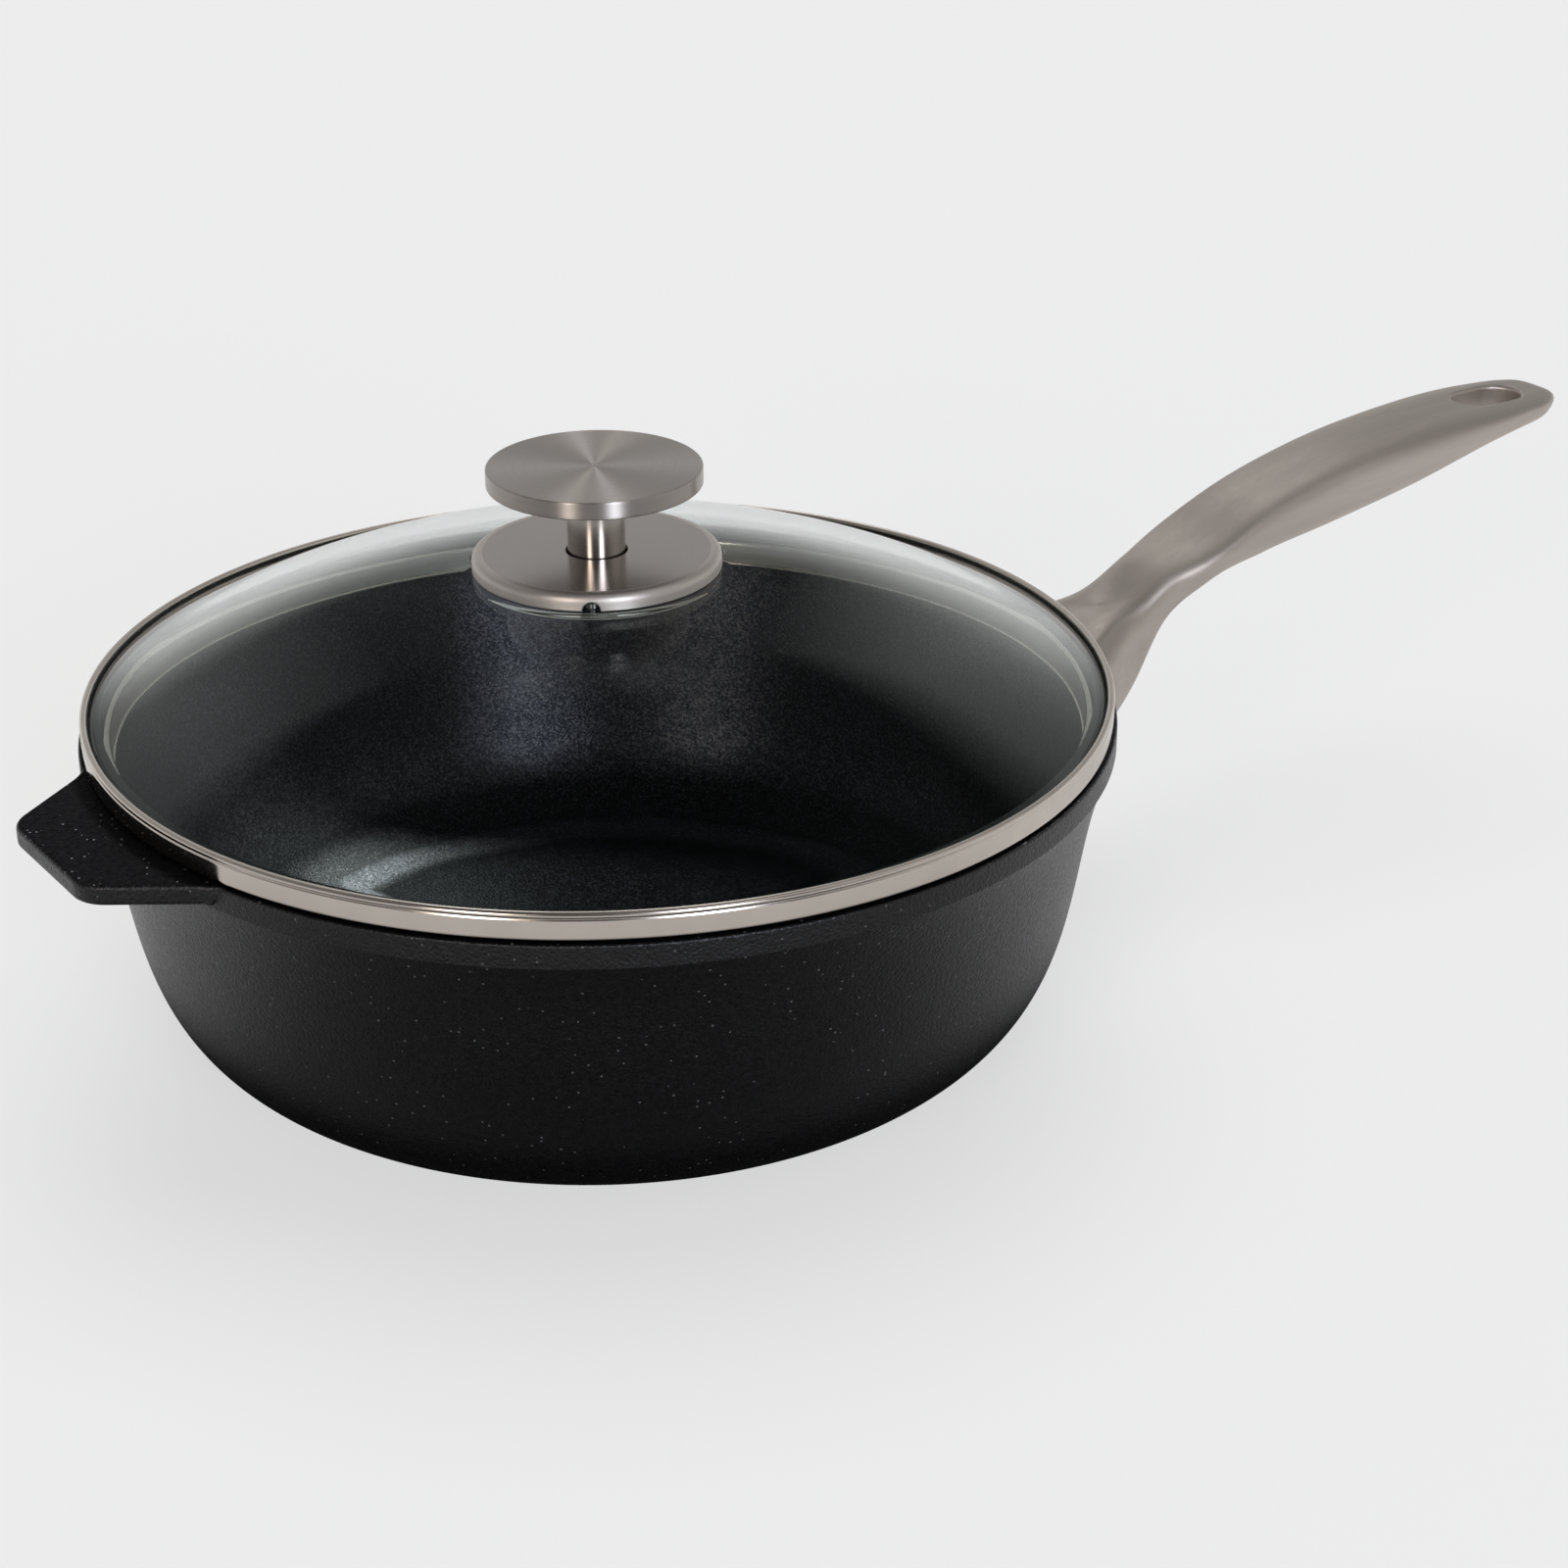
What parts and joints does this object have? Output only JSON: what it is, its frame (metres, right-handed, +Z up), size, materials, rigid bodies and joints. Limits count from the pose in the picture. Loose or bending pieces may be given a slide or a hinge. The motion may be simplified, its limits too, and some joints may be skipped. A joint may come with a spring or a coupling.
{
  "type": "saute pan with lid",
  "caption": "Deep black saute pan with a flared helper tab, an arched steel long handle and a domed glass lid with a vented disc knob.",
  "frame": {"origin": "on the pan's axis, at the plane it stands on", "axes": "+X from the pan's axis along the long handle, +Z up out of the pan"},
  "size_m": [0.5395, 0.29, 0.1645],
  "materials": {
    "coated_body": "cast aluminium under a fine-grained black non-stick coating",
    "base_plate": "turned magnetic steel",
    "handle_steel": "satin cast stainless steel",
    "ring_steel": "polished stainless steel",
    "knob_steel": "turned stainless steel",
    "fastener_steel": "plain stainless steel",
    "clear_glass": "clear toughened glass",
    "silicone": "matte dark silicone"
  },
  "bodies": {
    "pan": {"pan_body": "coated_body", "induction_plate": "base_plate", "handle": "handle_steel", "handle_screws": "fastener_steel", "handle_washers": "fastener_steel"},
    "lid": {"lid_ring": "ring_steel", "bonding_seal": "silicone", "lid_glass": "clear_glass", "knob_bush": "silicone", "soft_washer": "silicone", "clamp_washer": "fastener_steel", "knob_bolt": "fastener_steel", "knob_post": "knob_steel", "knob_disc": "knob_steel", "friction_washer": "fastener_steel"},
    "vent": {"vent_cover": "knob_steel", "vent_slider": "silicone"}
  },
  "joints": [
    {"name": "lid_lift", "type": "slide", "parent": "pan", "child": "lid", "axis": [0, 0, 1], "range_m": [0, 0.12]},
    {"name": "vent_turn", "type": "hinge", "parent": "lid", "child": "vent", "pos_m": [0, 0, 0.1355], "axis": [0, 0, 1], "continuous": true}
  ]
}
